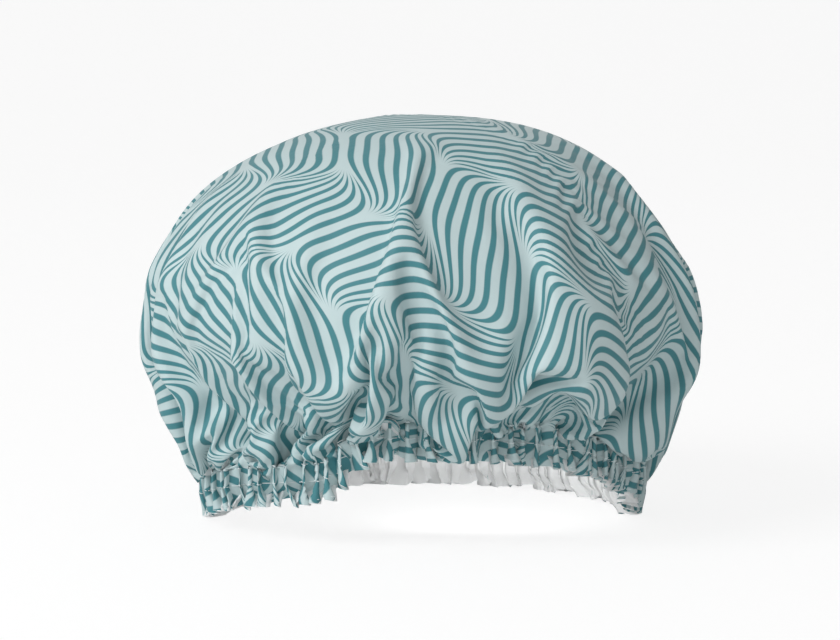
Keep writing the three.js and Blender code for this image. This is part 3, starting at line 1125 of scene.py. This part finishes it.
@dataclass(frozen=True)
class HemSewing:
    """The elastic and the thread of the hem.

    Attributes:
        hem: The hem as it stands.
        radius: Radius of the flat cloth.
        band_height: Height of the elastic.
        band_thickness: Its thickness.
        band_lap: How far its ends lap.
        band_step: How far the outer end steps out over the inner one.
        band_points: Points along it.
        thread: Radius of the thread.
        tack_half: Half the length of the tack.
        tack_swing: How far its zigzag swings up and down.
        tack_pitch: Half a zigzag, along the lap.
        tack_out: How far outside the oval it lies.
        tack_points: Points along it.
        stitch: Length of a stitch.
        stitch_gap: Gap to the next one.
        stitch_points: Points along a stitch.
        row_inset: How far inside the casing each row of stitches lies.
        seam_inset: How far inside the edge of the frill the seam lies.
        seam_points: Points along it.
    """

    hem: Hem
    radius: float
    band_height: float = 0.006
    band_thickness: float = 0.001
    band_lap: float = 0.012
    band_step: float = 0.0012
    band_points: int = 361
    thread: float = 0.00022
    tack_half: float = 0.004
    tack_swing: float = 0.0015
    tack_pitch: float = 0.0013
    tack_out: float = 0.00195
    tack_points: int = 49
    stitch: float = 0.0026
    stitch_gap: float = 0.0009
    stitch_points: int = 5
    row_inset: float = 0.0005
    seam_inset: float = 0.002
    seam_points: int = 1400

    def elastic(self) -> bpy.types.Object:
        """The band: one flat strip on the oval, whose far end steps out over its near end at the back.

        Returns:
            The band.
        """
        lap = self.band_lap / self.hem.half_width
        turn = np.linspace(0.0, TURN + lap, self.band_points)
        angle = BACK - 0.5 * lap + turn
        step = self.band_step * ease(turn, TURN - 0.6 * lap, TURN - 0.1 * lap)
        middle = np.full_like(angle, 0.5 * self.hem.casing_height)
        half = 0.5 * self.band_thickness
        rows = []
        for side, up in ((-half, -1.0), (half, -1.0), (half, 1.0), (-half, 1.0)):
            rows.append(self.hem.line(angle, middle - 0.5 * up * self.band_height, step + side))
        points = np.stack(rows, 1)
        number = np.arange(points.shape[0] * 4).reshape(-1, 4)
        here, there = number[:-1], number[1:]
        quads = np.stack([here, there, np.roll(there, -1, 1), np.roll(here, -1, 1)], -1).reshape(-1, 4)
        quads = np.concatenate([quads, number[:1], number[-1:, ::-1]])
        return link("elastic", points.reshape(-1, 3), quads, smooth=False)

    def tack(self) -> bpy.types.Object:
        """The zigzag that joins the lapped ends: one thread that swings up and down along the lap.

        Returns:
            The tack.
        """
        run = np.linspace(-self.tack_half, self.tack_half, self.tack_points)
        angle = BACK + run / self.hem.half_width
        swing = self.tack_swing * np.arcsin(np.sin(run / self.tack_pitch * math.pi)) / (0.5 * math.pi)
        out = np.full_like(angle, self.tack_out)
        lines = self.hem.line(angle, 0.5 * self.hem.casing_height - swing, out)
        return threads("elastic_zigzag", lines[None], self.hem.outward(angle)[None], self.thread)

    def row(self, name: str, below: float) -> bpy.types.Object:
        """A row of stitches that lie on the pleats of the cloth, each dipping in at both ends.

        A stitch lies a little over the thread's radius above the cloth, less a fourth power towards its ends.

        Args:
            name: The object's name.
            below: How far under the upper stitch row, in metres along the cloth.

        Returns:
            The row.
        """
        girth = TURN * (self.hem.casing + below)
        count = int(girth / (self.stitch + self.stitch_gap))
        starts = TURN * np.arange(count) / count
        within = np.linspace(0.0, 1.0, self.stitch_points)
        angle = starts[:, None] + within * self.stitch / (self.hem.casing + below)
        depth = np.full_like(angle, below)
        small = 1e-4
        along = self.hem.pleated(angle + small, depth) - self.hem.pleated(angle - small, depth)
        down = self.hem.pleated(angle, depth + small) - self.hem.pleated(angle, depth - small)
        out = np.cross(down, along)
        out /= np.linalg.norm(out, axis=-1, keepdims=True)
        lift = self.thread * (1.1 - 1.6 * (2.0 * within - 1.0) ** 4)
        lines = self.hem.pleated(angle, depth) + out * lift[:, None]
        return threads(name, lines, out, self.thread)

    def seam(self) -> bpy.types.Object:
        """The seam inside the edge of the frill, between the cloth and the film.

        Returns:
            The seam.
        """
        angle = np.linspace(0.0, TURN, self.seam_points + 1)[:-1]
        depth = np.full_like(angle, self.radius - self.hem.casing - self.seam_inset)
        cloth = self.hem.pleated(angle, depth, Layer.CLOTH)
        film = self.hem.pleated(angle, depth, Layer.FILM)
        lines = 0.5 * (cloth + film)
        return threads("edge_thread", lines[None], self.hem.outward(angle)[None], self.thread, closed=True)

    def build(self) -> dict[Node, bpy.types.Object]:
        """Makes the elastic and all the thread.

        Returns:
            The pieces by the node that each stands for.
        """
        return {
            Node.ELASTIC: self.elastic(),
            Node.TACK: self.tack(),
            Node.UPPER_ROW: self.row("stitches_over_elastic", self.row_inset),
            Node.LOWER_ROW: self.row("stitches_under_elastic", self.hem.casing_height - self.row_inset),
            Node.EDGE_SEAM: self.seam(),
        }

    def dress(self, pieces: dict[Node, bpy.types.Object]) -> None:
        """Gives the pieces their finishes.

        Args:
            pieces: The pieces of the hem.
        """
        thread = SEWING_THREAD.material()
        for node, piece in pieces.items():
            piece.data.materials.append(KNITTED_ELASTIC.material() if node is Node.ELASTIC else thread)


def look(made: bpy.types.Object, place: Vector, aim: Vector) -> None:
    """Puts a lamp or a camera in its place, turned to what it looks at, and into the scene.

    Args:
        made: The lamp or the camera.
        place: Where it stands, in metres.
        aim: What it is turned to, in metres.
    """
    made.location = place
    made.rotation_euler = (aim - made.location).to_track_quat("-Z", "Y").to_euler()
    bpy.context.scene.collection.objects.link(made)


@dataclass(frozen=True)
class Lamp:
    """A soft square lamp that the camera doesn't see.

    Attributes:
        name: The lamp's name.
        place: Where it stands, in metres.
        size: Its side, in metres.
        power: Its power, in watts.
        aim: What it is turned to, in metres.
    """

    name: str
    place: Triple
    size: float
    power: float
    aim: Triple = (0.0, 0.0, 0.09)

    def build(self) -> None:
        """Sets the lamp."""
        light = bpy.data.lights.new(self.name, "AREA")
        light.energy = self.power
        light.size = self.size
        made = bpy.data.objects.new(self.name, light)
        made.visible_camera = False
        look(made, Vector(self.place), Vector(self.aim))


LAMPS = (
    Lamp("key", (-1.2, -1.0, 1.3), 1.0, 24.0),
    Lamp("low", (0.1, -1.7, 0.14), 0.5, 3.0),
    Lamp("under", (0.02, -0.03, 0.05), 0.06, 0.06, (0.03, 0.085, 0.012)),
)


@dataclass(frozen=True)
class Studio:
    """A white table under soft light, seen from the front.

    Attributes:
        elevation: Degrees that the camera looks down.
        distance: How far away it stands, in metres.
        lens: Its focal length, in millimetres.
        aim: What it looks at, in metres.
        sky: Strength of the light from all round.
        table_half_width: Half the table's width, in metres.
        table_front: Where the table starts, in metres from the cap.
        bend_from: Where it starts to curve up behind the cap.
        bend_radius: Radius of that curve.
        bend_steps: Steps along it.
        backdrop: Height of the backdrop.
        table_lit: Tone of the table where it lights the cap.
        table_seen: Tone of the table where the camera sees it.
        table_glow: Light that the table itself gives to the camera.
        table_roughness: From 0, glossy, to 1, matt.
    """

    elevation: float = 7.5
    distance: float = 2.0
    lens: float = 194.2
    aim: Triple = (-0.0018, 0.0, 0.0885)
    sky: float = 0.39
    table_half_width: float = 5.0
    table_front: float = -6.0
    bend_from: float = 1.2
    bend_radius: float = 0.8
    bend_steps: int = 12
    backdrop: float = 5.0
    table_lit: Triple = (0.92, 0.92, 0.92)
    table_seen: Triple = (0.15, 0.15, 0.15)
    table_glow: float = 0.84
    table_roughness: float = 0.9

    def floor(self) -> bpy.types.Object:
        """A white table that curves up behind the cap into a backdrop.

        Returns:
            The floor.
        """
        bend = np.linspace(0.0, 0.5 * math.pi, self.bend_steps + 1)[1:]
        flat = [self.table_front, self.bend_from]
        curve = self.bend_from + self.bend_radius * np.sin(bend)
        along = np.concatenate([flat, curve, [self.bend_from + self.bend_radius]])
        height = np.concatenate([[0.0, 0.0], self.bend_radius * (1.0 - np.cos(bend)), [self.backdrop]])
        left = np.column_stack([np.full_like(along, -self.table_half_width), along, height])
        right = left * np.array([-1.0, 1.0, 1.0])
        near = np.arange(len(along))
        far = near + len(along)
        quads = np.stack([near[:-1], far[:-1], far[1:], near[1:]], -1)
        made = link("table", np.concatenate([left, right]), quads)
        made.data.materials.append(self.table_finish())
        return made

    def table_finish(self) -> bpy.types.Material:
        """A white that glows a little to the camera, so that the table stays white around a soft shadow.

        Returns:
            The material.
        """
        shader = Shader("white table")
        seen = shader.node("ShaderNodeLightPath").outputs["Is Camera Ray"]
        shader.coat(
            Base_Color=shader.mix(seen, self.table_lit, self.table_seen),
            Roughness=self.table_roughness,
            Emission_Color=(1.0, 1.0, 1.0, 1.0),
            Emission_Strength=shader.math("MULTIPLY", seen, self.table_glow),
        )
        return shader.material

    def build(self) -> None:
        """Sets the table, the light and the camera."""
        self.floor()
        world = bpy.data.worlds.new("studio")
        world.use_nodes = True
        sky = world.node_tree.nodes["Background"]
        sky.inputs["Color"].default_value = (1.0, 1.0, 1.0, 1.0)
        sky.inputs["Strength"].default_value = self.sky
        scene = bpy.context.scene
        scene.world = world
        for lamp in LAMPS:
            lamp.build()
        camera = bpy.data.cameras.new("camera")
        camera.lens = self.lens
        eye = bpy.data.objects.new("camera", camera)
        lift = math.radians(self.elevation)
        aim = Vector(self.aim)
        look(eye, aim + self.distance * Vector((0.0, -math.cos(lift), math.sin(lift))), aim)
        scene.camera = eye
        scene.view_settings.view_transform = "Standard"


def main() -> None:
    """Builds the cap around its frame, then the studio.

    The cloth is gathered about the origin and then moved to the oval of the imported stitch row.
    """
    logging.basicConfig(level=logging.INFO, format="%(name)s: %(message)s")
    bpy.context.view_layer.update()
    low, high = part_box(Node.UPPER_ROW.value)
    disc = FlatDisc()
    level = Hem(
        centre=(0.0, 0.0),
        half_width=round(0.5 * (high.x - low.x), 3),
        half_depth=round(0.5 * (high.y - low.y), 3),
        casing=disc.radius - HEM_WIDTH,
    )
    middle = (0.5 * (low.x + high.x), 0.5 * (low.y + high.y))
    hem = replace(level, centre=middle, top=level.top + HEM_LIFT)
    crown = Crown(disc, hem)
    crown.settle(Gathering(disc, level, CrownShape(level)).run() + np.array([*middle, HEM_LIFT]))
    sewing = HemSewing(hem, disc.radius)
    for assembly in (crown, sewing):
        pieces = assembly.build()
        assembly.dress(pieces)
        for node, piece in pieces.items():
            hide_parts(node.value)
            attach(piece, "root")
            LOG.info("%s: %d faces", piece.name, len(piece.data.polygons))
    Studio().build()


if __name__ == "__main__":
    main()
